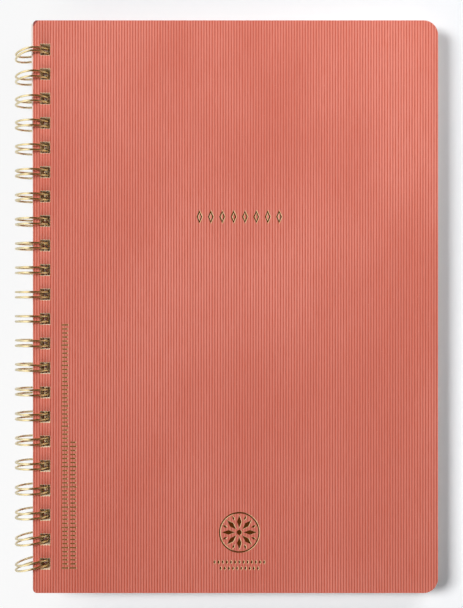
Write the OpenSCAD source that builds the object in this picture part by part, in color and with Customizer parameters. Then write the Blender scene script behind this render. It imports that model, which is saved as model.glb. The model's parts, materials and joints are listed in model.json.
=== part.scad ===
// A4 twin-wire notebook lying closed on its back cover: ribbed card covers, a block of
// ruled leaves and one continuous twin-loop wire, with plain gold foil ornament in front.

/* [Covers] */
// Width of a cover, spine edge to fore edge
cover_w = 210; // [148:1:216]
// Height of a cover, along the spine
cover_h = 297; // [210:1:303]
// Thickness of the card without its ribs
board_t = 1.0; // [0.6:0.1:1.5]
// Corner radius at the fore edge
fore_corner_r = 7.5; // [3:0.5:12]
// Corner radius at the spine
spine_corner_r = 2; // [0.6:0.2:3]

/* [Ribs] */
// Distance from one rib to the next
rib_pitch = 1.42; // [1.2:0.02:3]
// Width of a rib at its foot
rib_w = 1.16; // [0.8:0.02:1.18]
// Height of a rib above the card
rib_h = 0.2; // [0.1:0.02:0.4]

/* [Leaves] */
// Number of leaves in the block
leaf_count = 80; // [50:2:100]
// Thickness of one leaf as it lies in the block
leaf_t = 0.115; // [0.09:0.005:0.13]
// How far the covers reach past the leaves at head, foot and fore edge
cover_overhang = 1.5; // [0:0.25:4]
// How far the leaves reach past the covers at the spine
spine_reach = 0.4; // [0:0.1:0.8]

/* [Wire] */
// Diameter of the wire itself
wire_d = 1.1; // [0.8:0.05:1.3]
// Distance between the two strands of a loop
strand_gap = 2.8; // [2.4:0.1:3.2]
// Distance from one loop to the next
loop_pitch = 12.7; // [10:0.1:14]
// Least distance from the middle of an end loop to the end of the cover
loop_margin = 12; // [6:0.5:20]
// Bend radius where a strand turns into the link to the next loop
bend_r = 1.2; // [1:0.1:1.5]
// Room inside the loops over the front cover and under the back cover
loop_room = 1.9; // [1.6:0.1:3]

/* [Holes] */
// Card left between a hole and the spine edge
hole_margin = 3.6; // [3:0.1:6]
// Room round a strand across the spine margin
hole_clearance = 0.7; // [0.3:0.05:0.8]
// Room beside the strands along the spine
hole_end_clearance = 0.9; // [0.6:0.1:1.5]

/* [Foil] */
// Number of lozenges in the title band
lozenge_count = 8; // [4:1:12]
// Distance from one lozenge to the next
lozenge_pitch = 5.9; // [4:0.1:8]
// Width of the foil lines
foil_line = 0.6; // [0.4:0.05:0.8]
// Outer radius of the rosette
rosette_r = 10.5; // [8:0.5:14]
// Number of petals in the rosette
petal_count = 8; // [6:1:10]
// Distance from one mark of the edge scale to the next
mark_pitch = 2.1; // [1.6:0.1:4]

/* [Hidden] */

CORAL = [0.87, 0.50, 0.43];
GOLD = [0.80, 0.64, 0.36];
PAPER = [0.96, 0.95, 0.91];

CURVE = 64;
TUBE = 16;
cut_margin = 1;

cover_t = board_t + rib_h;
block_t = leaf_count * leaf_t;
stack_t = block_t + 2 * cover_t;

// The loops lie on z = 0, with the stack of covers and leaves halfway up inside them.
wire_r = wire_d / 2;
loop_r = wire_r + stack_t / 2 + loop_room;
loop_z = loop_r + wire_r;
back_z = wire_d + loop_room;
block_z = back_z + cover_t;
front_z = block_z + block_t;

// A hole takes the strand from its widest place to where it leaves the stack.
strand_inner_x = sqrt(pow(loop_r - wire_r, 2) - pow(stack_t / 2, 2));
hole_w = loop_r + wire_r - strand_inner_x + 2 * hole_clearance;
hole_l = strand_gap + wire_d + 2 * hole_end_clearance;
loop_x = hole_margin + hole_clearance - strand_inner_x;
loop_count = floor((cover_h - 2 * loop_margin) / loop_pitch) + 1;

// The spine edge is put where the whole object is centred on x = 0.
spine_x = -(cover_w + loop_x - loop_r - wire_r) / 2;

// Ribs cover the whole width, the same at both edges.
rib_count = floor(cover_w / rib_pitch);
rib_start = (cover_w - rib_count * rib_pitch) / 2;
rib_flats = 5;
rib_crest_angle = 37;

// The links between loops lie between the last leaf and the back cover. A strand leaves
// its bend at strand_start: loop_r * sin(a) + bend_r * cos(a) is the height of the links.
link_clearance = 0.25;
leaf_clearance = 0.1;
link_z = block_z + link_clearance + wire_r - loop_z;
strand_start = asin(link_z / norm([loop_r, bend_r])) - atan(bend_r / loop_r);
link_length = loop_pitch - strand_gap - 2 * bend_r;
wire_end = 1.5;

// The closed tip of a loop stops this far short of the bends that it faces.
tip_clearance = 0.3;
tip_room = wire_d + tip_clearance;
tip_gap = sqrt(tip_room * (tip_room + strand_gap + 2 * bend_r));
tip_angle = strand_start + tip_gap / loop_r * 180 / PI;

// The bends are this much fuller than the strands and links, which end inside them.
bend_fullness = 0.011;
overlap = 0.1;

// The last leaves arch over the links near the spine.
arch_rise = link_clearance + wire_d + leaf_clearance;
arch_run = 14;
arch_flat = hole_margin + hole_w + 3;
arch_end = arch_flat + arch_run;
arch_steps = 8;

// Foil is pressed down to the card and stays just under the crests of the ribs.
foil_drop = 0.05;
foil_t = rib_h - foil_drop;
foil_x = cover_w / 2 + 2;
title_y = 0.157 * cover_h;
lozenge_size = [2.9, 6.9];
rosette_y = -0.394 * cover_h;
eye_r = rosette_r * 0.12;
petal_x = rosette_r * 0.53;
petal_size = rosette_r * [0.64, 0.22];
bud_x = rosette_r * 0.76;
bud_size = rosette_r * [0.24, 0.1];
bead_rows = [13, 10];
bead_size = [1.1, 1.9];
bead_pitch = 2.15;
bead_drop = 4.9;
bead_row_pitch = 3.2;
scale_foot = -0.456 * cover_h;
scale_columns = [[16.6, 128], [20.8, 66]];
mark_w = 2.6;
long_mark_w = 3.4;
long_mark_every = 5;
mark_t = 0.55;

function loop_y(i) = (i - (loop_count - 1) / 2) * loop_pitch;

// One rib's section round its middle x: a low crest of flats, with the middle one level.
function crest_share(a) =
    (cos(a) - cos(rib_crest_angle)) / (cos(rib_crest_angle / rib_flats) - cos(rib_crest_angle));
function crest_points(x) =
    [for (j = [0 : rib_flats])
        let (a = rib_crest_angle * (2 * j / rib_flats - 1))
        [x + rib_w / 2 * sin(a) / sin(rib_crest_angle), board_t + rib_h * max(0, crest_share(a))]];
function ribbed_section() = concat(
    [[cover_w, 0], [0, 0], [0, board_t]],
    [for (i = [0 : rib_count - 1]) each crest_points(rib_start + (i + 0.5) * rib_pitch)],
    [[cover_w, board_t]]);

// What a round corner leaves of a square one, with the corner itself at the origin.
module corner_waste(r) {
    difference() {
        translate([-cut_margin, -cut_margin]) square(r + cut_margin);
        translate([r, r]) circle(r, $fn = CURVE);
    }
}

// Outline of a leaf or cover from x0 to x1, without its holes.
module sheet_outline(x0, x1, h, spine_r, fore_r) {
    difference() {
        translate([x0, -h / 2]) square([x1 - x0, h]);
        for (side = [0, 1]) mirror([0, side]) {
            translate([x0, -h / 2]) corner_waste(spine_r);
            translate([x1, -h / 2]) mirror([1, 0]) corner_waste(fore_r);
        }
    }
}

module punched_holes(depth) {
    for (i = [0 : loop_count - 1])
        translate([hole_margin, loop_y(i) - hole_l / 2, -cut_margin])
            cube([hole_w, hole_l, depth + 2 * cut_margin]);
}

// A cover with its plain face down at z = 0 and its ribs up.
module cover() {
    difference() {
        intersection() {
            translate([0, cover_h / 2, 0]) rotate([90, 0, 0])
                linear_extrude(cover_h) polygon(ribbed_section());
            linear_extrude(cover_t)
                sheet_outline(0, cover_w, cover_h, spine_corner_r, fore_corner_r);
        }
        punched_holes(cover_t);
    }
}

module lozenge(size) {
    x = size[0] / 2;
    y = size[1] / 2;
    polygon([[-x, 0], [0, -y], [x, 0], [0, y]]);
}

// A row of slim open lozenges.
module title_band() {
    inner = 1 - 2 * foil_line * norm(lozenge_size) / (lozenge_size[0] * lozenge_size[1]);
    for (i = [0 : lozenge_count - 1])
        translate([foil_x + (i - (lozenge_count - 1) / 2) * lozenge_pitch, title_y])
            difference() {
                lozenge(lozenge_size);
                lozenge(lozenge_size * inner);
            }
}

// A ring round petals and small buds, with two rows of beads under it.
module rosette() {
    translate([foil_x, rosette_y]) {
        difference() {
            circle(rosette_r, $fn = CURVE);
            circle(rosette_r - foil_line, $fn = CURVE);
        }
        circle(eye_r, $fn = CURVE);
        for (i = [0 : petal_count - 1]) rotate(i * 360 / petal_count) {
            translate([petal_x, 0]) lozenge(petal_size);
            rotate(180 / petal_count) translate([bud_x, 0]) lozenge(bud_size);
        }
        for (row = [0 : len(bead_rows) - 1])
            for (i = [0 : bead_rows[row] - 1])
                translate([(i - (bead_rows[row] - 1) / 2) * bead_pitch,
                           -rosette_r - bead_drop - row * bead_row_pitch])
                    lozenge(bead_size);
    }
}

// Two columns of short marks beside the holes, like a scale, each given by x and length.
module edge_scale() {
    for (column = scale_columns)
        for (i = [0 : floor(column[1] / mark_pitch)])
            let (w = i % long_mark_every == 0 ? long_mark_w : mark_w)
                translate([column[0] - w / 2, scale_foot + i * mark_pitch - mark_t / 2])
                    square([w, mark_t]);
}

module place_front() {
    translate([spine_x, 0, front_z]) children();
}

module front_cover() {
    color(CORAL) place_front() difference() {
        cover();
        translate([0, 0, board_t]) linear_extrude(rib_h + cut_margin) {
            title_band();
            rosette();
            edge_scale();
        }
    }
}

module back_cover() {
    color(CORAL) translate([spine_x, 0, back_z + cover_t]) mirror([0, 0, 1]) cover();
}

module foil() {
    color(GOLD) place_front() translate([0, 0, board_t]) linear_extrude(foil_t) children();
}

// Rise of the block's underside at x from the spine edge.
function arch(x) =
    x <= arch_flat ? arch_rise :
    x >= arch_end ? 0 :
    arch_rise * (1 + cos(180 * (x - arch_flat) / (arch_end - arch_flat))) / 2;

function block_section() = concat(
    [[-spine_reach, block_t], [-spine_reach, arch_rise]],
    [for (i = [0 : arch_steps])
        let (x = arch_flat + (arch_end - arch_flat) * i / arch_steps) [x, arch(x)]],
    [[cover_w - cover_overhang, 0], [cover_w - cover_overhang, block_t]]);

module page_block() {
    h = cover_h - 2 * cover_overhang;
    color(PAPER) translate([spine_x, 0, block_z]) difference() {
        intersection() {
            translate([0, h / 2, 0]) rotate([90, 0, 0]) linear_extrude(h) polygon(block_section());
            linear_extrude(block_t)
                sheet_outline(-spine_reach, cover_w - cover_overhang, h,
                              spine_corner_r, max(spine_corner_r, fore_corner_r - cover_overhang));
        }
        punched_holes(block_t);
    }
}

// A stretch of wire bent to radius r through an angle, in the plane z = 0, from the +x axis.
module bent_wire(r, angle, thick) {
    rotate_extrude(angle = angle, $fn = CURVE) translate([r, 0]) circle(thick, $fn = TUBE);
}

// One strand in the plane across the spine: from the tip over, round and under to its bend.
module strand() {
    reach = overlap / loop_r * 180 / PI;
    rotate([90, 0, 0]) rotate(tip_angle - reach)
        bent_wire(loop_r, 360 - tip_angle + strand_start + 2 * reach, wire_r);
}

// Puts its children at angle a on a loop: their x axis runs along the spine,
// their y axis up the strand and their z axis out of the loop.
module on_loop(a) {
    rotate([0, -a, 0]) translate([loop_r, 0, 0]) rotate([90, 0, 90]) children();
}

// The turn from a strand at x = 0 into the link beside it.
module bend() {
    translate([bend_r, 0, 0]) rotate(90) bent_wire(bend_r, 90, wire_r + bend_fullness);
}

// The closed end of a loop, which joins its two strands.
module tip() {
    rotate(180) bent_wire(strand_gap / 2, 180, wire_r + bend_fullness);
}

// Straight wire from the end of a bend.
module link(length) {
    translate([bend_r - overlap, bend_r, 0]) rotate([0, 90, 0])
        cylinder(r = wire_r, h = length + overlap, $fn = TUBE);
}

// One half of a loop, with length of straight wire after its bend.
module half_loop(length) {
    translate([0, strand_gap / 2, 0]) {
        strand();
        on_loop(strand_start) {
            bend();
            if (length > 0) link(length);
        }
    }
}

// Each loop carries the link to the next one; the wire is cut off beyond the last bend.
module twin_wire() {
    color(GOLD) translate([spine_x + loop_x, 0, loop_z])
        for (i = [0 : loop_count - 1])
            translate([0, loop_y(i), 0]) {
                half_loop(i == loop_count - 1 ? wire_end : link_length + overlap);
                mirror([0, 1, 0]) half_loop(i == 0 ? wire_end : 0);
                on_loop(tip_angle) tip();
            }
}

module title_foil() {
    foil() title_band();
}

module rosette_foil() {
    foil() rosette();
}

module scale_foil() {
    foil() edge_scale();
}

front_cover();
back_cover();
page_block();
twin_wire();
title_foil();
rosette_foil();
scale_foil();
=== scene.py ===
import json
import math

import bmesh
import bpy
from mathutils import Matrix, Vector


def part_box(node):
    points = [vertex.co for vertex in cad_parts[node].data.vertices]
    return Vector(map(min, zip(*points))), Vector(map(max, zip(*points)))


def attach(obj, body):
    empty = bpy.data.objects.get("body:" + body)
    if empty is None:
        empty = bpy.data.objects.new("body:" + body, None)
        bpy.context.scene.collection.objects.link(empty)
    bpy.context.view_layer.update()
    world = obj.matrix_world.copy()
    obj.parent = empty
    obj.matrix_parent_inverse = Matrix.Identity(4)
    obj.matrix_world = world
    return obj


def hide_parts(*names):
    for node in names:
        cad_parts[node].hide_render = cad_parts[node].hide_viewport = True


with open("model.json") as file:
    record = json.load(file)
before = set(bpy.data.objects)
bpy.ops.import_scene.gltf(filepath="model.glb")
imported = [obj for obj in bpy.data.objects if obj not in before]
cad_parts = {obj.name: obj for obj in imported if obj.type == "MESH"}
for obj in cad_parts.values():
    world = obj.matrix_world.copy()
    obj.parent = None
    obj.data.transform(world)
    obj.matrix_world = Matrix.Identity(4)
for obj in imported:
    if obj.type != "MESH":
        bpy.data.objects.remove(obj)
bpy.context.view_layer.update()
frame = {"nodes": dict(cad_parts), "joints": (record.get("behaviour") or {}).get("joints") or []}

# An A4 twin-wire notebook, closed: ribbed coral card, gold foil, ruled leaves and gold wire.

MM = 0.001


# Sizes, in metres, from the frame where it gives them

COVER_LOW, COVER_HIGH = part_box("front_cover")
BACK_LOW, BACK_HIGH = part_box("back_cover")
BLOCK_LOW, BLOCK_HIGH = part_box("page_block")
LOOP_X, _, LOOP_Z = frame["joints"][0]["pos_m"]

COVER_W = COVER_HIGH.x - COVER_LOW.x
COVER_H = COVER_HIGH.y - COVER_LOW.y
COVER_T = COVER_HIGH.z - COVER_LOW.z
RIB_H = 0.2 * MM
CARD_T = COVER_T - RIB_H
RIB_PITCH = 1.42 * MM
RIB_W = 1.24 * MM
RIB_COUNT = 148  # 147 whole ribs and half a rib along each edge
RIB_STEPS = 12
RIB_ROUNDNESS = 0.7
SPINE_CORNER_R = 2 * MM
FORE_CORNER_R = 7.5 * MM
CORNER_STEPS = 10
CARD_CRISP = 50  # degrees
PLAIN_SIDE = 0.75  # what the attribute rib says on the card's plain side

WIRE_R = 0.55 * MM
LOOP_R = LOOP_Z - WIRE_R
LOOP_COUNT = 22
LOOP_PITCH = 12.7 * MM
STRAND_GAP = 2.8 * MM
BEND_R = 1.2 * MM
LINK_CLEARANCE = 0.25 * MM
TIP_CLEARANCE = 0.3 * MM
WIRE_SIDES = 14
BEND_STEPS = 6
STRAND_STEPS = 72
WIRE_CRISP = 60  # degrees
LEAN_SPREAD = 0.015
LEAN_POWER = 5
PINCH_SPREAD = 0.08

HOLE_X = COVER_LOW.x + 3.6 * MM
HOLE_W = 5.135 * MM
HOLE_L = 5.7 * MM
HOLE_RIM = 0.5 * MM  # faces this near a hole belong to it, if they are steep enough
CARD_STEEP, LEAF_STEEP = 0.8, 0.5
MOUTH_FLARE = 1 * MM
MOUTH_SINK = 0.05 * MM

# Tools that cut the card, and how far they reach past it
SPARE = 1 * MM
BLANK_T = 5 * MM
PUNCH_H = 8 * MM
DIE_BED, DIE_SPLIT, DIE_TOP = 0.1, 0.3, 2  # heights in the ribs, as shares of a rib's height

LEAF_COUNT = 80
ARCH_RISE = 1.45 * MM
ARCH_FLAT = HOLE_X + HOLE_W + 3 * MM
ARCH_END = ARCH_FLAT + 14 * MM
ARCH_STEPS = 8
HEAD_RUN_OUT = 0.7 * MM
LEAF_CORNER_R = FORE_CORNER_R - 1.5 * MM
LEAF_CORNER_STEPS = 7
LEAF_DRIFT_X, LEAF_DRIFT_Y = 0.07 * MM, 0.12 * MM
LEAF_HOLES_FROM = HOLE_X - 0.3 * MM
LEAF_HOLES_TO = ARCH_FLAT - 2 * MM
RULE_PITCH = 8 * MM
RULE_HALF_W = 0.14 * MM
RULE_MARGINS = {"head": 28 * MM, "foot": 14 * MM, "fore edge": 6 * MM}
TEAR_X = HOLE_X + HOLE_W + 5.5 * MM
TEAR_HALF_W = 0.12 * MM
SLIT_PITCH = 2 * MM
SLIT_HALF_L = 0.55 * MM

FOIL_NODES = ("title_foil", "rosette_foil", "scale_foil")
FOIL_SPREAD = 0.12 * MM
FOIL_RIM = 0.16 * MM
FOIL_DIP = 0.05 * MM

WELD = 1e-7
PATH_WELD = 1e-6
SOLVER = "MANIFOLD"


# Node trees

class Value:
    """A socket in a node tree. Arithmetic on it adds Math nodes."""

    def __init__(self, graph, socket):
        self.graph = graph
        self.socket = socket

    def out(self, name):
        """Another output of the node that this one comes from."""
        return Value(self.graph, pick(self.socket.node.outputs, name))

    def math(self, operation, *terms):
        """A Math node that works on these terms."""
        inputs = dict(enumerate(terms))
        return self.graph.add("ShaderNodeMath", {"operation": operation}, inputs)

    def __add__(self, other):
        return self.math("ADD", self, other)

    def __radd__(self, other):
        return self.math("ADD", other, self)

    def __sub__(self, other):
        return self.math("SUBTRACT", self, other)

    def __rsub__(self, other):
        return self.math("SUBTRACT", other, self)

    def __mul__(self, other):
        return self.math("MULTIPLY", self, other)

    def __truediv__(self, other):
        return self.math("DIVIDE", self, other)

    def __pow__(self, other):
        return self.math("POWER", self, other)

    def __abs__(self):
        return self.math("ABSOLUTE", self)

    def __lt__(self, other):
        return self.math("LESS_THAN", self, other)

    def __gt__(self, other):
        return self.math("GREATER_THAN", self, other)

    def at_least(self, other):
        return self.math("MAXIMUM", self, other)

    def clamp(self):
        return self.math("MINIMUM", self.at_least(0.0), 1.0)

    def cos(self):
        return self.math("COSINE", self)

    def sign(self):
        return self.math("SIGN", self)

    def to_and_fro(self, span):
        """Runs up from 0 to span and back down again, over and over."""
        return self.math("PINGPONG", self, span)


def pick(sockets, key):
    """The socket at an index, or the first one in use that has a name."""
    if isinstance(key, int):
        return sockets[key]
    return next(s for s in sockets if s.name == key and s.enabled)


class Graph:
    """A node tree that is being built."""

    def __init__(self, tree):
        self.tree = tree

    def add(self, kind, settings=None, inputs=None, output=0):
        """Adds a node: its settings first, then the values or links of its sockets."""
        node = self.tree.nodes.new(kind)
        for name, value in (settings or {}).items():
            if name == "stops":
                set_stops(node.color_ramp, value)
            else:
                setattr(node, name, value)
        for key, value in (inputs or {}).items():
            socket = pick(node.inputs, key)
            for term in value if isinstance(value, list) else [value]:
                if isinstance(term, Value):
                    self.tree.links.new(term.socket, socket)
                else:
                    socket.default_value = term
        return Value(self, pick(node.outputs, output)) if node.outputs else None

    def mix(self, factor, a, b):
        """Two colours, mixed."""
        return self.add("ShaderNodeMix", {"data_type": "RGBA"}, {0: factor, 6: a, 7: b}, 2)

    def smooth(self, value, low, high):
        """0 below low, 1 above high, with a soft step between them."""
        inputs = {"Value": value, "From Min": low, "From Max": high}
        return self.add("ShaderNodeMapRange", {"interpolation_type": "SMOOTHSTEP"}, inputs)

    def vector(self, x, y, z):
        """A vector of three parts."""
        return self.add("ShaderNodeCombineXYZ", {}, {"X": x, "Y": y, "Z": z})

    def xyz(self, vector):
        """The three parts of a vector."""
        parts = self.add("ShaderNodeSeparateXYZ", {}, {0: vector})
        return parts, parts.out("Y"), parts.out("Z")


def set_stops(ramp, stops):
    """A ramp's stops, each a place and a grey level or a colour."""
    while len(ramp.elements) < len(stops):
        ramp.elements.new(0.5)
    for element, (place, colour) in zip(ramp.elements, stops):
        element.position = place
        element.color = colour if hasattr(colour, "__len__") else (colour, colour, colour, 1)


def srgb(red, green, blue):
    """A colour that is read off a screen, 0 to 255, as the shaders want it."""
    def linear(level):
        share = level / 255
        return share / 12.92 if share <= 0.04045 else ((share + 0.055) / 1.055) ** 2.4
    return linear(red), linear(green), linear(blue), 1


SOCKET_KINDS = {
    float: "NodeSocketFloat",
    int: "NodeSocketInt",
    tuple: "NodeSocketVector",
    bpy.types.Material: "NodeSocketMaterial",
}


def geometry_tree(name, build, **sizes):
    """A Geometry Nodes tree with named inputs. build turns them into the piece's geometry."""
    tree = bpy.data.node_groups.new(name, "GeometryNodeTree")
    face = tree.interface
    face.new_socket("Geometry", in_out="INPUT", socket_type="NodeSocketGeometry")
    for label, value in sizes.items():
        face.new_socket(label, in_out="INPUT", socket_type=SOCKET_KINDS[type(value)])
    face.new_socket("Geometry", in_out="OUTPUT", socket_type="NodeSocketGeometry")
    graph = Graph(tree)
    given = tree.nodes.new("NodeGroupInput")
    inputs = {s.name: Value(graph, s) for s in given.outputs if s.name}
    made = build(graph, inputs)
    made = graph.add("GeometryNodeRealizeInstances", {}, {"Geometry": made})
    made = graph.add("GeometryNodeSetMaterial", {},
                     {"Geometry": made, "Material": inputs["material"]})
    graph.add("NodeGroupOutput", {}, {0: made})
    return tree


def grown(name, start, tree, **sizes):
    """A plain mesh piece: what the tree makes of the mesh start with these sizes."""
    piece = bpy.data.objects.new(name, start)
    bpy.context.scene.collection.objects.link(piece)
    modifier = piece.modifiers.new("grow", "NODES")
    modifier.node_group = tree
    for item in tree.interface.items_tree:
        if item.in_out == "INPUT" and item.name in sizes:
            modifier[item.identifier] = sizes[item.name]
    depsgraph = bpy.context.evaluated_depsgraph_get()
    mesh = bpy.data.meshes.new_from_object(piece.evaluated_get(depsgraph), depsgraph=depsgraph)
    piece.modifiers.remove(modifier)
    piece.data = mesh
    mesh.name = name
    return piece


# Shapes

def solid_sheet(graph, sheet, thickness):
    """A slab between a flat sheet of upward faces and a copy of it above."""
    up = graph.vector(0.0, 0.0, thickness)
    inputs = {"Mesh": sheet, "Offset": up, "Individual": False}
    raised = graph.add("GeometryNodeExtrudeMesh", {"mode": "FACES"}, inputs)
    under = graph.add("GeometryNodeFlipFaces", {}, {"Mesh": sheet})
    joined = graph.add("GeometryNodeJoinGeometry", {}, {"Geometry": [under, raised]})
    return graph.add("GeometryNodeMergeByDistance", {}, {"Geometry": joined, "Distance": WELD})


def moved(graph, geometry, offset):
    """Geometry whose points are shifted."""
    return graph.add("GeometryNodeSetPosition", {}, {"Geometry": geometry, "Offset": offset})


def marked(graph, geometry, name, value, domain):
    """Geometry with a number stored on its points or faces."""
    settings = {"data_type": "FLOAT", "domain": domain}
    inputs = {"Geometry": geometry, "Name": name, "Value": value}
    return graph.add("GeometryNodeStoreNamedAttribute", settings, inputs)


def either(graph, question, yes, no):
    """One of two numbers."""
    inputs = {"Switch": question, "False": no, "True": yes}
    return graph.add("GeometryNodeSwitch", {"input_type": "FLOAT"}, inputs)


def levelness(graph):
    """1 on level faces, 0 on upright ones."""
    return abs(graph.xyz(graph.add("GeometryNodeInputNormal"))[2])


def uneven(graph, amount, seed, **more):
    """A random number for each point or each ID, between minus and plus an amount."""
    inputs = {2: -amount, 3: amount, "Seed": seed, **more}
    return graph.add("FunctionNodeRandomValue", {"data_type": "FLOAT"}, inputs, 1)


def along(graph, shape, count, pitch):
    """Copies of a shape in a row along Y, centred, each with its number as the attribute loop."""
    start = graph.vector(0.0, (1 - count) * pitch / 2, 0.0)
    line = {"Count": count, "Start Location": start, "Offset": graph.vector(0.0, pitch, 0.0)}
    row = graph.add("GeometryNodeMeshLine", {}, line)
    row = marked(graph, row, "loop", graph.add("GeometryNodeInputIndex"), "POINT")
    copies = graph.add("GeometryNodeInstanceOnPoints", {}, {"Points": row, "Instance": shape})
    return graph.add("GeometryNodeRealizeInstances", {}, {"Geometry": copies})


def smoothed(graph, geometry, angle):
    """Smooth shading, with edges sharper than the angle kept crisp."""
    soft = graph.add("GeometryNodeSetShadeSmooth", {"domain": "FACE"}, {"Geometry": geometry})
    crisp = graph.add("GeometryNodeInputMeshEdgeAngle") > math.radians(angle)
    inputs = {"Geometry": soft, "Selection": crisp, "Shade Smooth": False}
    return graph.add("GeometryNodeSetShadeSmooth", {"domain": "EDGE"}, inputs)


def ribbed_card(graph, given):
    """Card with ribs on its upper side, cut round, punched, and pressed flat under the foil.

    The attribute rib is 0 in a groove, 1 on a crest and in between on the plain side.
    """
    pitch, card, rib_h = given["rib pitch"], given["card"], given["rib height"]
    columns = given["ribs"] + 1
    size = {"Size X": columns * pitch, "Size Y": given["height"] + 2 * SPARE,
            "Vertices X": columns * RIB_STEPS + 1, "Vertices Y": 2}
    flat = graph.add("GeometryNodeMeshGrid", {}, size)
    slab = solid_sheet(graph, flat, card)
    x, y, z = graph.xyz(graph.add("GeometryNodeInputPosition"))
    off_crest = abs(x).to_and_fro(pitch / 2) / (given["rib width"] / 2)
    crest = (1 - off_crest * off_crest).clamp() ** RIB_ROUNDNESS
    crest = crest * (abs(x) < given["ribs"] * pitch / 2)
    ribbed = moved(graph, slab, graph.vector(0.0, 0.0, crest * rib_h * (z > card / 2)))

    rectangle = {"Width": given["width"], "Height": given["height"]}
    outline = graph.add("GeometryNodeCurvePrimitiveQuadrilateral", {}, rectangle)
    radius = either(graph, x > 0.0, given["fore corner"], given["spine corner"])
    rounding = {"Curve": outline, "Radius": radius, "Count": CORNER_STEPS, "Limit Radius": True}
    outline = graph.add("GeometryNodeFilletCurve", {"mode": "POLY"}, rounding)
    blank = graph.add("GeometryNodeFillCurve", {"mode": "NGONS"}, {"Curve": outline})
    blank = solid_sheet(graph, moved(graph, blank, (0, 0, -SPARE)), BLANK_T)
    cut = graph.add("GeometryNodeMeshBoolean", {"operation": "INTERSECT", "solver": SOLVER},
                    {"Mesh": [ribbed, blank]})

    hole_w, hole_l = given["hole width"], given["hole length"]
    punch, mouth = [
        graph.add("GeometryNodeMeshCube", {}, {"Size": graph.vector(hole_w, hole_l, tall)})
        for tall in (PUNCH_H, MOUTH_FLARE)]
    wider = (z > 0.0) * MOUTH_FLARE
    mouth_z = card + (MOUTH_FLARE / 2 - MOUTH_SINK)
    mouth = moved(graph, mouth, graph.vector(x.sign() * wider, y.sign() * wider, mouth_z))
    shift = graph.vector(given["hole x"], 0.0, 0.0)
    punches, mouths = [
        moved(graph, along(graph, shape, given["loops"], given["loop pitch"]), shift)
        for shape in (punch, mouth)]
    die_z = either(graph, z > card + rib_h * DIE_SPLIT, card + rib_h * DIE_TOP,
                   card + rib_h * DIE_BED)
    die = graph.add("GeometryNodeSetPosition", {},
                    {"Geometry": given["Geometry"], "Position": graph.vector(x, y, die_z)})
    cut = graph.add("GeometryNodeMeshBoolean", {"operation": "DIFFERENCE", "solver": SOLVER},
                    {"Mesh 1": cut, "Mesh 2": [punches, mouths, die]})

    share = ((z - card) / rib_h).clamp() + (z < card / 2) * PLAIN_SIDE
    cut = marked(graph, cut, "rib", share, "POINT")
    loop_pitch = given["loop pitch"]
    off_hole = loop_pitch / 2 - abs(y).to_and_fro(loop_pitch / 2)
    by_hole = abs(x - given["hole x"]) < hole_w / 2 + HOLE_RIM
    by_hole = by_hole * (off_hole < hole_l / 2 + HOLE_RIM)
    cut = marked(graph, cut, "punched", by_hole * (levelness(graph) < CARD_STEEP), "FACE")
    cut = smoothed(graph, cut, CARD_CRISP)
    place = {"Geometry": cut, "Translation": given["place"], "Rotation": given["turn"]}
    return graph.add("GeometryNodeTransform", {}, place)


def loop_path():
    """The wire's middle line round one loop, from one link's middle to the next one's."""
    link_z = BLOCK_LOW.z + LINK_CLEARANCE + WIRE_R - LOOP_Z
    start = math.asin(link_z / math.hypot(LOOP_R, BEND_R)) - math.atan(BEND_R / LOOP_R)
    room = 2 * WIRE_R + TIP_CLEARANCE
    tip = start + math.sqrt(room * (room + STRAND_GAP + 2 * BEND_R)) / LOOP_R

    def on_loop(angle, across, up):
        x = LOOP_R * math.cos(angle) - up * math.sin(angle)
        z = LOOP_R * math.sin(angle) + up * math.cos(angle)
        return Vector((LOOP_X + x, across, LOOP_Z + z))

    half = [on_loop(start, -LOOP_PITCH / 2, BEND_R)]
    side = STRAND_GAP / 2
    quarter = [math.pi / 2 * i / BEND_STEPS for i in range(BEND_STEPS + 1)]
    for turn in quarter:
        across = side + BEND_R * (1 - math.sin(turn))
        half.append(on_loop(start, -across, BEND_R * math.cos(turn)))
    sweep = 2 * math.pi - tip + start
    for i in range(1, STRAND_STEPS + 1):
        half.append(on_loop(start - sweep * i / STRAND_STEPS, -side, 0))
    for turn in quarter[1:]:
        half.append(on_loop(tip, -side * math.cos(turn), -side * math.sin(turn)))
    mirrored = [Vector((p.x, -p.y, p.z)) for p in reversed(half[:-1])]
    return half + mirrored


def path_mesh(name, points):
    """A mesh of edges from each point to the next."""
    mesh = bpy.data.meshes.new(name)
    mesh.from_pydata(points, [(i, i + 1) for i in range(len(points) - 1)], [])
    return mesh


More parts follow.
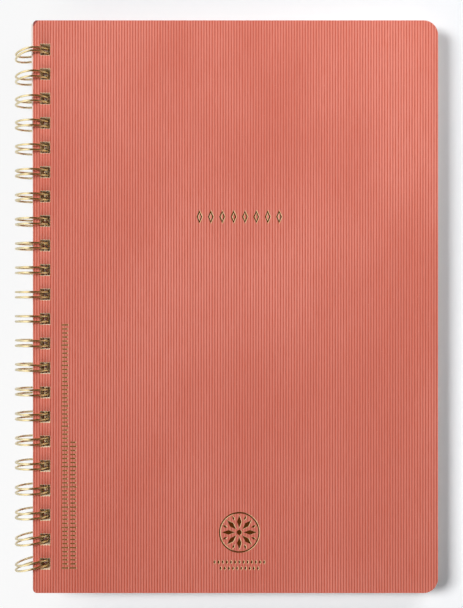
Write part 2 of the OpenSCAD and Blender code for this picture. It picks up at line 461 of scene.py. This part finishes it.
def loops_of_wire(graph, given):
    """One loop's path, repeated along the spine, slightly uneven, and swept into wire."""
    count, pitch = given["loops"], given["loop pitch"]
    loops = along(graph, given["Geometry"], count, pitch)
    loop = graph.add("GeometryNodeInputNamedAttribute", {"data_type": "FLOAT"}, {"Name": "loop"})
    toward_end = abs(loop * 2 / (count - 1) - 1)
    lean = uneven(graph, LEAN_SPREAD, given["seed"] + 1, ID=loop)
    lean = lean - given["end lean"] * toward_end ** LEAN_POWER
    pinch = uneven(graph, PINCH_SPREAD, given["seed"] + 2, ID=loop)
    pinch = pinch - (loop > count - 1.5) * given["head pinch"]
    x, y, z = graph.xyz(graph.add("GeometryNodeInputPosition"))
    from_middle = y - (loop - (count - 1) / 2) * pitch
    above = ((z - given["loop z"]) / given["loop radius"]).clamp()

    # The upper strands near the head run level over the card and lean only past it.
    away = (given["hole x"] - x).at_least(0.0)
    reach = given["hole x"] - given["loop x"] + given["loop radius"]
    late = above * (loop > count / 2) * given["head bend"] * (1 - away / reach)
    slant = away * lean * (1 - late)

    # The loops hang to the left, by half the slack on the right and by all of it at the tips.
    leftward = ((given["loop x"] - x) / given["loop radius"]).clamp()
    hang = given["slack"] * (leftward + 1) / -2
    loops = moved(graph, loops, graph.vector(hang, slant + from_middle * pinch * above, 0.0))
    wire = graph.add("GeometryNodeMergeByDistance", {}, {"Geometry": loops, "Distance": PATH_WELD})
    wire = graph.add("GeometryNodeMeshToCurve", {}, {"Mesh": wire})
    section = graph.add("GeometryNodeCurvePrimitiveCircle", {},
                        {"Resolution": WIRE_SIDES, "Radius": given["wire radius"]})
    wire = graph.add("GeometryNodeCurveToMesh", {},
                     {"Curve": wire, "Profile Curve": section, "Fill Caps": True})
    return smoothed(graph, wire, WIRE_CRISP)


def leaf_blank():
    """One leaf's flat outline with its holes, in strips. Its spine edge runs out at the head."""
    low_x, high_x = BLOCK_LOW.x, BLOCK_HIGH.x
    half_h = (BLOCK_HIGH.y - BLOCK_LOW.y) / 2
    corner = LEAF_CORNER_R
    arch_step = (ARCH_END - ARCH_FLAT) / ARCH_STEPS
    arch_lines = [ARCH_FLAT + arch_step * i for i in range(ARCH_STEPS + 1)]
    quarter = [math.pi / 2 * i / LEAF_CORNER_STEPS for i in range(LEAF_CORNER_STEPS + 1)]
    corner_lines = [high_x - corner * (1 - math.sin(turn)) for turn in quarter]
    lines = [HOLE_X, HOLE_X + HOLE_W, *arch_lines, *corner_lines]

    def reach(x):
        past = max(0.0, x - (high_x - corner))
        return half_h - corner + math.sqrt(max(0.0, corner ** 2 - past ** 2))

    edges = []
    for i in range(LOOP_COUNT):
        middle = (i - (LOOP_COUNT - 1) / 2) * LOOP_PITCH
        edges += [middle - HOLE_L / 2, middle + HOLE_L / 2]

    sheet = bmesh.new()
    spine_edge = [(low_x, -half_h), (low_x, half_h / 3), (low_x - HEAD_RUN_OUT, half_h)]
    columns = [[sheet.verts.new((x, y, 0)) for x, y in spine_edge]]
    for i, x in enumerate(lines):
        ys = [-reach(x), *(edges if i < 2 else []), reach(x)]
        columns.append([sheet.verts.new((x, y, 0)) for y in ys])
    for i, (left, right) in enumerate(zip(columns, columns[1:])):
        if i == 1:
            for j in range(0, len(left), 2):
                sheet.faces.new((left[j], right[j], right[j + 1], left[j + 1]))
        else:
            sheet.faces.new([*reversed(left), *right])
    sheet.normal_update()
    mesh = bpy.data.meshes.new("leaf_blank")
    sheet.to_mesh(mesh)
    sheet.free()
    return mesh


def leaf_stack(graph, given):
    """A block of single leaves, each slightly out of line, whose last ones arch over the links."""
    count, thickness = given["leaves"], given["block thickness"]
    leaf = solid_sheet(graph, given["Geometry"], thickness / count * given["paper share"])
    line = {"Count": count, "Start Location": graph.vector(0.0, 0.0, given["block z"]),
            "Offset": graph.vector(0.0, 0.0, thickness / count)}
    row = graph.add("GeometryNodeMeshLine", {}, line)
    drift_x = uneven(graph, LEAF_DRIFT_X, given["seed"] + 1)
    drift_y = uneven(graph, LEAF_DRIFT_Y, given["seed"] + 2)
    row = moved(graph, row, graph.vector(drift_x, drift_y, 0.0))
    stack = graph.add("GeometryNodeInstanceOnPoints", {}, {"Points": row, "Instance": leaf})
    stack = graph.add("GeometryNodeRealizeInstances", {}, {"Geometry": stack})
    x, y, z = graph.xyz(graph.add("GeometryNodeInputPosition"))
    share = (x - given["arch flat"]) / (given["arch end"] - given["arch flat"])
    rise = given["arch rise"] * (1 + (share.clamp() * math.pi).cos()) / 2
    depth = 1 - (z - given["block z"]) / thickness
    by_hole = (x > LEAF_HOLES_FROM) * (x < LEAF_HOLES_TO) * (levelness(graph) < LEAF_STEEP)
    stack = marked(graph, stack, "punched", by_hole, "FACE")
    return moved(graph, stack, graph.vector(0.0, 0.0, rise * depth))


def foil_solid(names):
    """The foils' CAD solids as one bmesh, spread sideways a little as the press does it."""
    solid = bmesh.new()
    for name in names:
        solid.from_mesh(frame["nodes"][name].data)
    bmesh.ops.remove_doubles(solid, verts=solid.verts, dist=WELD)
    solid.normal_update()
    shifts = []
    for vert in solid.verts:
        outward = Vector((vert.normal.x, vert.normal.y, 0)).normalized()
        sides = [face for face in vert.link_faces if abs(face.normal.z) < 0.1]
        facing = min(side.normal.dot(outward) for side in sides)
        shifts.append(outward * FOIL_SPREAD / max(facing, 0.6))
    for vert, shift in zip(solid.verts, shifts):
        vert.co += shift
    return solid


def foil_film(name):
    """A foil whose middle is pressed in. The attribute rim is 1 on the slope along its edges."""
    film = foil_solid([name])
    rim = film.faces.layers.float.new("rim")
    top = [f for f in film.faces if f.normal.z > 0.9]
    slope = bmesh.ops.inset_region(film, faces=top, thickness=FOIL_RIM, depth=-FOIL_DIP,
                                   use_even_offset=True)
    for face in slope["faces"]:
        face[rim] = 1.0
    mesh = bpy.data.meshes.new(name + "_film")
    film.to_mesh(mesh)
    film.free()
    return mesh


def foil_dies(place):
    """All the foils as one mesh, about the place where the card is made."""
    dies = foil_solid(FOIL_NODES)
    bmesh.ops.translate(dies, verts=dies.verts, vec=-place)
    mesh = bpy.data.meshes.new("foil_dies")
    dies.to_mesh(mesh)
    dies.free()
    return mesh


def placed(name, mesh, material):
    """An object of a finished mesh and its one material."""
    piece = bpy.data.objects.new(name, mesh)
    bpy.context.scene.collection.objects.link(piece)
    mesh.materials.clear()
    mesh.materials.append(material)
    return piece


# Finishes

def finish_of(name, build):
    """A material whose surface build makes."""
    material = bpy.data.materials.new(name)
    material.use_nodes = True
    material.node_tree.nodes.clear()
    graph = Graph(material.node_tree)
    graph.add("ShaderNodeOutputMaterial", {}, {"Surface": build(graph)})
    return material


def place_on(graph, stretch=(1, 1, 1)):
    """Object coordinates, in metres, stretched."""
    at = graph.add("ShaderNodeTexCoord", {}, {}, "Object")
    return graph.add("ShaderNodeMapping", {}, {"Vector": at, "Scale": stretch})


def attribute(graph, name):
    """A number that the piece's mesh carries."""
    return graph.add("ShaderNodeAttribute", {"attribute_name": name}, {}, "Fac")


def noise(graph, at, size, detail, roughness=0.5):
    """Noise of 0 to 1 with features of about this size, in metres."""
    inputs = {"Vector": at, "Scale": 1 / size, "Detail": detail, "Roughness": roughness}
    return graph.add("ShaderNodeTexNoise", {}, inputs)


def bumped(graph, height, depth, strength):
    """A normal that follows a height of 0 to 1, this deep in metres."""
    inputs = {"Height": height, "Distance": depth, "Strength": strength}
    return graph.add("ShaderNodeBump", {}, inputs)


def coral_card(graph):
    """Dyed coral ribbed card with short fibres. Its darker grooves against paler crests, its soft
    darker patches and its darker foot are painted shade.
    """
    at = place_on(graph)
    x, y, z = graph.xyz(at)
    streaks = noise(graph, place_on(graph, (1, 0.1, 1)), 1.1 * MM, 2.0, 0.6)
    shade_patches = noise(graph, place_on(graph, (1, 0.6, 1)), 60 * MM, 2.0)
    fibres = noise(graph, place_on(graph, (1, 0.25, 1)), 0.35 * MM, 4.0, 0.65)
    flecks = noise(graph, at, 0.12 * MM, 2.0)
    specks = noise(graph, at, 0.5 * MM, 0.0)
    crest = graph.smooth(attribute(graph, "rib"), 0.05, 0.95)

    # Painted shade: the card is darker towards the spine's foot, where crests and grooves stay
    # apart.
    from_foot = (x - COVER_LOW.x) / COVER_W + (y - COVER_LOW.y) / COVER_H
    foot_shade = graph.smooth(from_foot, 1.1, 0.0) * 0.6
    shaded_groove_tone = graph.mix(foot_shade, CARD_GROOVE_SHADED, CARD_GROOVE_FOOT_SHADE)
    lit_crest_tone = graph.mix(foot_shade, CARD_CREST_LIT, CARD_CREST_FOOT_SHADE)
    # Painted shade: the grooves are painted darker and redder than the paler crests, as shade
    # gathers in them.
    tone = graph.mix((crest + (streaks - 0.5) * 0.5).clamp(), shaded_groove_tone, lit_crest_tone)
    tone = graph.mix(graph.smooth(fibres, 0.3, 0.75) * 0.25, tone, CARD_FIBRE)
    # Painted shade: soft darker patches stand in for uneven light across the cover.
    tone = graph.mix(graph.smooth(shade_patches, 0.3, 0.75) * 0.4, tone, CARD_SHADE_PATCH)
    tone = graph.mix(graph.smooth(specks, 0.77, 0.84) * 0.4, tone, CARD_SPECK)

    # The darker head corner is on the front cover alone, so anything lower counts as far past it.
    past_dark_corner = (x - COVER_LOW.x) / DARK_CORNER_LEGS[0] + (COVER_HIGH.y - y) / DARK_CORNER_LEGS[1]
    past_dark_corner = past_dark_corner + (z < COVER_LOW.z) * 9
    tone = graph.mix(graph.smooth(past_dark_corner, 1.05, 0.95) * 0.85, tone, CARD_DARK_CORNER)
    # Painted highlight: the walls round the punched holes are painted pale cream, as light catches
    # the cut edges.
    tone = graph.mix(attribute(graph, "punched"), tone, CARD_HOLE_EDGE_HIGHLIGHT)
    height = fibres * 0.7 + flecks * 0.3
    inputs = {"Base Color": tone, "Roughness": 0.5 + fibres * 0.25,
              "Normal": bumped(graph, height, 0.02 * MM, 0.6)}
    return graph.add("ShaderNodeBsdfPrincipled", {}, inputs)


def gold(graph, tone, worn, rough, grain, depth):
    """Gold-coloured metal with faint drawing lines or press marks of this grain."""
    at = place_on(graph)
    cloud = noise(graph, at, grain * 12, 3.0)
    fine = noise(graph, at, grain, 3.0, 0.6)
    mixed = graph.mix(graph.smooth(cloud, 0.35, 0.7), tone, worn)
    inputs = {"Base Color": mixed, "Metallic": 1.0, "Roughness": rough + fine * 0.12,
              "Normal": bumped(graph, fine, depth, 0.5)}
    return graph.add("ShaderNodeBsdfPrincipled", {}, inputs)


def wire_gold(graph):
    """Pale gold wire."""
    return gold(graph, WIRE_TONE, WIRE_WORN, rough=0.2, grain=0.3 * MM, depth=0.008 * MM)


def foil_gold(graph):
    """Gold foil, paler on the slope along its edges: a painted highlight that makes the slope's
    reflections read as cream glints.
    """
    rim = attribute(graph, "rim")
    tone = graph.mix(rim, FOIL_TONE, FOIL_GLINT_TINT)
    worn = graph.mix(rim, FOIL_WORN, FOIL_GLINT_TINT)
    return gold(graph, tone, worn, rough=0.07, grain=0.2 * MM, depth=0.004 * MM)


def ruled_paper(graph):
    """Off-white writing paper with faint feint rules and a line of perforations near the holes."""
    at = place_on(graph)
    x, y, z = graph.xyz(at)
    line = y.to_and_fro(RULE_PITCH / 2) < RULE_HALF_W
    inside = (y < BLOCK_HIGH.y - RULE_MARGINS["head"]) * (y > BLOCK_LOW.y + RULE_MARGINS["foot"])
    inside = inside * (x > TEAR_X) * (x < BLOCK_HIGH.x - RULE_MARGINS["fore edge"])
    slit = y.to_and_fro(SLIT_PITCH / 2) < SLIT_HALF_L
    tear = (abs(x - TEAR_X) < TEAR_HALF_W) * slit
    pulp = noise(graph, at, 0.5 * MM, 4.0, 0.6)
    leaf_tint = noise(graph, place_on(graph, (0.01, 0.01, 30)), 3 * MM, 2.0)
    tone = graph.mix(graph.smooth(leaf_tint, 0.35, 0.7) * 0.4, PAPER, PAPER_SHADE)
    tone = graph.mix(line * inside * 0.6, tone, PAPER_RULE)
    tone = graph.mix(tear * 0.5, tone, PAPER_TEAR)
    # Painted reflected light: the walls of the leaves' holes get a bright warm gold tint, standing
    # in for light thrown off the gold wire.
    tone = graph.mix(attribute(graph, "punched"), tone, PAPER_HOLE_REFLECTED_LIGHT)
    inputs = {"Base Color": tone, "Roughness": 0.75 + pulp * 0.15,
              "Normal": bumped(graph, pulp, 0.01 * MM, 0.4)}
    return graph.add("ShaderNodeBsdfPrincipled", {}, inputs)


def pale_floor(graph):
    """A matt white floor that the camera sees fade into the white round it."""
    camera_ray = graph.add("ShaderNodeLightPath", {}, {}, "Is Camera Ray")
    at = graph.add("ShaderNodeTexCoord", {}, {}, "Object")
    x, y, z = graph.xyz(at)
    seen = graph.mix(graph.smooth(y, COVER_HIGH.y, COVER_LOW.y), FLOOR_FAR, FLOOR_NEAR)
    matt = graph.add("ShaderNodeBsdfDiffuse", {}, {"Color": graph.mix(camera_ray, FLOOR, seen)})
    white = graph.add("ShaderNodeEmission", {}, {"Color": BACKGROUND})
    away = graph.add("ShaderNodeVectorMath", {"operation": "LENGTH"}, {0: at}, "Value")
    past_spine = x - COVER_LOW.x
    past_ends = graph.smooth(past_spine, *BAND_PAST_ENDS) * (abs(y) > COVER_HIGH.y)
    band = graph.smooth(past_spine, *BAND_BESIDE).at_least(past_ends)
    band = band * graph.smooth(past_spine, *BAND_OUTER) * camera_ray
    fade = graph.smooth(away, *FADE) * camera_ray.at_least(camera_ray.out("Is Glossy Ray"))
    fade = fade.at_least(band * BAND_SHARE)
    return graph.add("ShaderNodeMixShader", {}, {0: fade, 1: matt, 2: white})


CARD_CREST_LIT = srgb(242, 153, 138)
CARD_GROOVE_SHADED = srgb(202, 80, 46)
CARD_CREST_FOOT_SHADE = srgb(215, 118, 102)
CARD_GROOVE_FOOT_SHADE = srgb(192, 71, 38)
CARD_FIBRE = srgb(240, 146, 126)
CARD_SPECK = srgb(252, 186, 164)
CARD_SHADE_PATCH = srgb(204, 98, 78)
CARD_DARK_CORNER = srgb(138, 66, 66)
CARD_HOLE_EDGE_HIGHLIGHT = srgb(250, 224, 190)
DARK_CORNER_LEGS = (2.6 * MM, 3.1 * MM)  # the darker head corner's two legs
WIRE_TONE = srgb(244, 234, 200)
WIRE_WORN = srgb(238, 222, 180)
FOIL_TONE = srgb(204, 150, 90)
FOIL_WORN = srgb(190, 136, 74)
FOIL_GLINT_TINT = srgb(252, 230, 190)
PAPER = srgb(250, 246, 238)
PAPER_SHADE = srgb(238, 230, 214)
PAPER_RULE = srgb(150, 160, 170)
PAPER_TEAR = srgb(140, 132, 122)
PAPER_HOLE_REFLECTED_LIGHT = srgb(255, 226, 180)
FLOOR = srgb(245, 245, 245)
BACKGROUND = srgb(250, 250, 250)
FLOOR_FAR = (0.92, 0.93, 0.945, 1)
FLOOR_NEAR = (1.21, 1.22, 1.235, 1)

# Where the camera sees the floor turn white: far out, and in a band beside the wire. Each pair is
# a start and an end, measured from the middle or, for the band, from the cover's spine edge.
FADE = (0.22, 0.45)
BAND_BESIDE = (2 * MM, -1 * MM)
BAND_PAST_ENDS = (40 * MM, -3 * MM)
BAND_OUTER = (-90 * MM, -30 * MM)
BAND_SHARE = 0.9

card = finish_of("coral ribbed card", coral_card)
paper = finish_of("ruled paper", ruled_paper)
wire_metal = finish_of("gold wire", wire_gold)
foil_metal = finish_of("gold foil", foil_gold)


# Pieces

cover_sizes = {
    "width": COVER_W, "height": COVER_H, "card": CARD_T, "rib height": RIB_H,
    "ribs": RIB_COUNT, "rib pitch": RIB_PITCH, "rib width": RIB_W,
    "spine corner": SPINE_CORNER_R, "fore corner": FORE_CORNER_R,
    "hole width": HOLE_W, "hole length": HOLE_L, "loops": LOOP_COUNT, "loop pitch": LOOP_PITCH,
    "hole x": HOLE_X + HOLE_W / 2 - (COVER_LOW.x + COVER_HIGH.x) / 2,
    "place": (0.0, 0.0, 0.0), "turn": (0.0, 0.0, 0.0), "material": card,
}
cover_tree = geometry_tree("ribbed cover", ribbed_card, **cover_sizes)

front_place = Vector(((COVER_LOW.x + COVER_HIGH.x) / 2, 0, COVER_LOW.z))
front_sizes = {**cover_sizes, "place": tuple(front_place)}
front = grown("front_card", foil_dies(front_place), cover_tree, **front_sizes)
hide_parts("front_cover")
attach(front, "front")

back_place = (front_place.x, 0.0, BACK_HIGH.z)
back_sizes = {**cover_sizes, "place": back_place, "turn": (math.pi, 0.0, 0.0)}
back = grown("back_card", bpy.data.meshes.new("no_dies"), cover_tree, **back_sizes)
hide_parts("back_cover")
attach(back, "back")

leaf_sizes = {
    "leaves": LEAF_COUNT, "block thickness": BLOCK_HIGH.z - BLOCK_LOW.z, "block z": BLOCK_LOW.z,
    "paper share": 0.86, "arch rise": ARCH_RISE, "arch flat": ARCH_FLAT, "arch end": ARCH_END,
    "seed": 5, "material": paper,
}
leaf_tree = geometry_tree("leaf stack", leaf_stack, **leaf_sizes)
leaves = grown("leaves", leaf_blank(), leaf_tree, **leaf_sizes)
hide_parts("page_block")
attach(leaves, "leaves")

wire_sizes = {
    "loops": LOOP_COUNT, "loop pitch": LOOP_PITCH, "loop radius": LOOP_R, "loop x": LOOP_X,
    "loop z": LOOP_Z, "slack": 1 * MM, "wire radius": WIRE_R, "hole x": HOLE_X, "end lean": 0.24,
    "head pinch": 0.4, "head bend": 1.0, "seed": 3, "material": wire_metal,
}
wire_tree = geometry_tree("loops of wire", loops_of_wire, **wire_sizes)
wire = grown("binding_wire", path_mesh("loop_path", loop_path()), wire_tree, **wire_sizes)
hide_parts("twin_wire")
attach(wire, "leaves")

for foil_name in FOIL_NODES:
    film = placed(foil_name + "_film", foil_film(foil_name), foil_metal)
    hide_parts(foil_name)
    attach(film, "front")


# Studio

FLOOR_SIZE = 3.0
CAMERA_X, CAMERA_Y = 2.68 * MM, 1.4 * MM
CAMERA_ABOVE = 0.5
CAMERA_LENS = 57.1


def lamp(name, direction, distance, size, power):
    """A square soft lamp, turned to the object from a direction and not mirrored in the gold."""
    light = bpy.data.lights.new(name, "AREA")
    light.size = size
    light.energy = power
    away = Vector(direction).normalized()
    stand = bpy.data.objects.new(name, light)
    stand.location = away * distance
    stand.rotation_euler = away.to_track_quat("Z", "Y").to_euler()
    stand.visible_glossy = False
    bpy.context.scene.collection.objects.link(stand)


def studio_air(graph):
    """White to the camera, even light on matt surfaces, and a bright left side in the metal."""
    path = graph.add("ShaderNodeLightPath", {}, {}, "Is Camera Ray")
    x, y, z = graph.xyz(graph.add("ShaderNodeTexCoord", {}, {}, "Generated"))
    sides = graph.add("ShaderNodeValToRGB", {"stops": AIR_SIDES}, {"Fac": x / 2 + 0.5})
    tone = graph.mix(path.out("Is Glossy Ray"), AIR, sides)
    tone = graph.mix(path, tone, BACKGROUND)
    return graph.add("ShaderNodeBackground", {}, {"Color": tone})


AIR = (0.072, 0.077, 0.084, 1)
AIR_FAR_LEFT = (0.6, 0.56, 0.46, 1)
AIR_LEFT = (1.3, 1.24, 1.08, 1)
AIR_ABOVE = (0.145, 0.08, 0.036, 1)
AIR_RIGHT = (0.5, 0.45, 0.36, 1)
AIR_SIDES = (  # from the far left, 0, to the far right, 1
    (0, AIR_FAR_LEFT), (0.2, AIR_LEFT), (0.34, AIR_LEFT),
    (0.43, AIR_ABOVE), (0.88, AIR_ABOVE), (1, AIR_RIGHT),
)

world = bpy.data.worlds.new("studio")
world.use_nodes = True
world.node_tree.nodes.clear()
air = Graph(world.node_tree)
air.add("ShaderNodeOutputWorld", {}, {"Surface": studio_air(air)})
bpy.context.scene.world = world

lamp("key", direction=(-13, 3.2, 14.6), distance=4, size=1.5, power=131)
lamp("fill", direction=(0.36, 0.42, 0.3), distance=0.63, size=0.4, power=1.68)

# The closed notebook rests on its loops and its fore edge, so the floor leans to touch both.
half = FLOOR_SIZE / 2
rise = BACK_LOW.z / (BACK_HIGH.x - LOOP_X)
corners = [(x, y, (x - LOOP_X) * rise) for x, y in
           ((-half, -half), (half, -half), (half, half), (-half, half))]
floor_mesh = bpy.data.meshes.new("floor")
floor_mesh.from_pydata(corners, [], [(0, 1, 2, 3)])
floor = placed("floor", floor_mesh, finish_of("pale floor", pale_floor))

camera = bpy.data.cameras.new("camera")
camera.lens = CAMERA_LENS
tripod = bpy.data.objects.new("camera", camera)
tripod.location = (CAMERA_X, CAMERA_Y, COVER_HIGH.z + CAMERA_ABOVE)
bpy.context.scene.collection.objects.link(tripod)
bpy.context.scene.camera = tripod
bpy.context.scene.view_settings.view_transform = "Standard"
